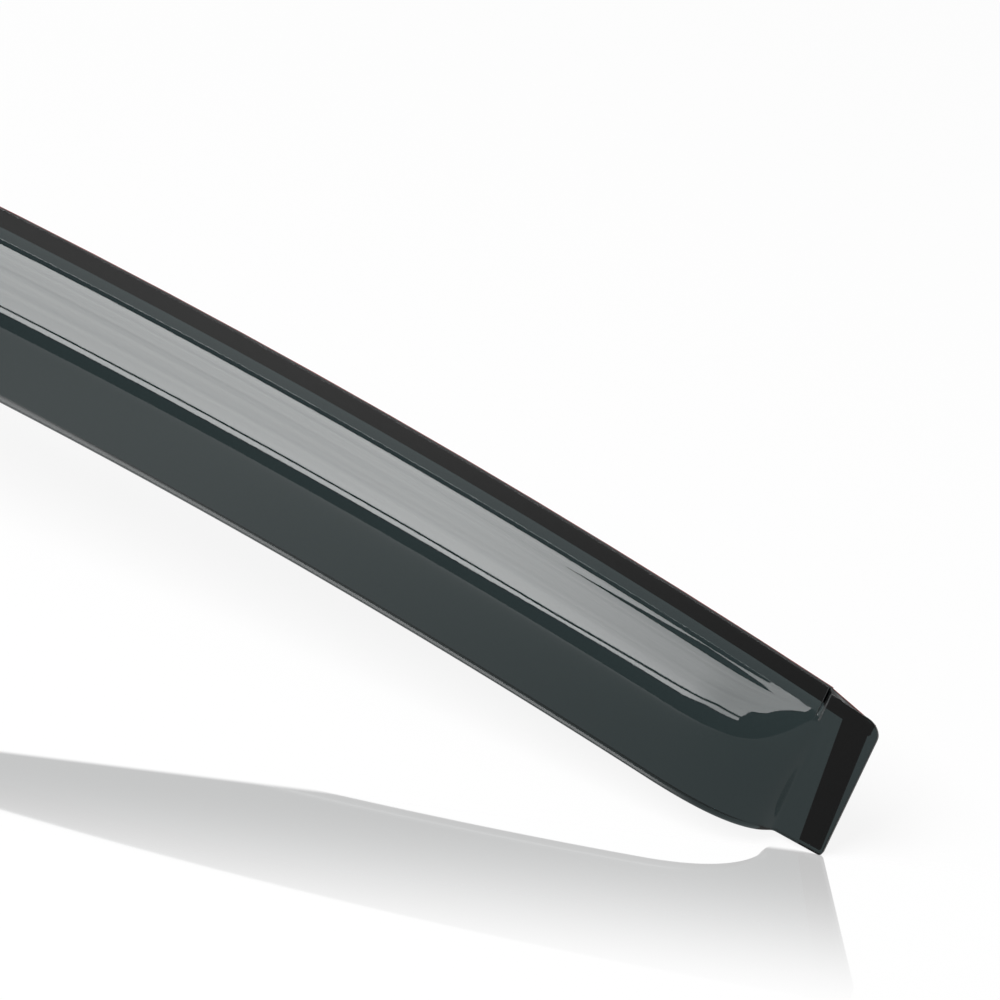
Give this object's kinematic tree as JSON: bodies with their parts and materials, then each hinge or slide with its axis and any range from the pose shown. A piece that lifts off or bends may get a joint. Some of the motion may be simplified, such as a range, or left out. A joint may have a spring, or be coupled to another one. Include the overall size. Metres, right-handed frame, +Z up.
{
  "type": "window rain deflector",
  "caption": "Smoked acrylic rain deflector for a car's side window: arched taped flange, bulged face with a turned-in lip, flat end tab with a relief groove, tapered tip.",
  "frame": {"origin": "On the bonded plane, in the middle of the top tape's width, halfway along the deflector.", "axes": "X runs along the door towards the end tab, Y points into the door that the tape bonds to, and Z is up. The bulged outer face looks along -Y."},
  "size_m": [0.6562, 0.0254, 0.0942],
  "materials": {
    "smoked_acrylic": "polished, transparent dark smoke tint",
    "foam_tape": "matt closed-cell acrylic foam",
    "release_film": "smooth thin film"
  },
  "bodies": {
    "root": {"visor_shell": "smoked_acrylic", "top_tape": "foam_tape", "tab_top_tape": "foam_tape", "tab_side_tape": "foam_tape", "top_tape_liner": "release_film", "tab_top_liner": "release_film", "tab_side_liner": "release_film"}
  },
  "joints": []
}
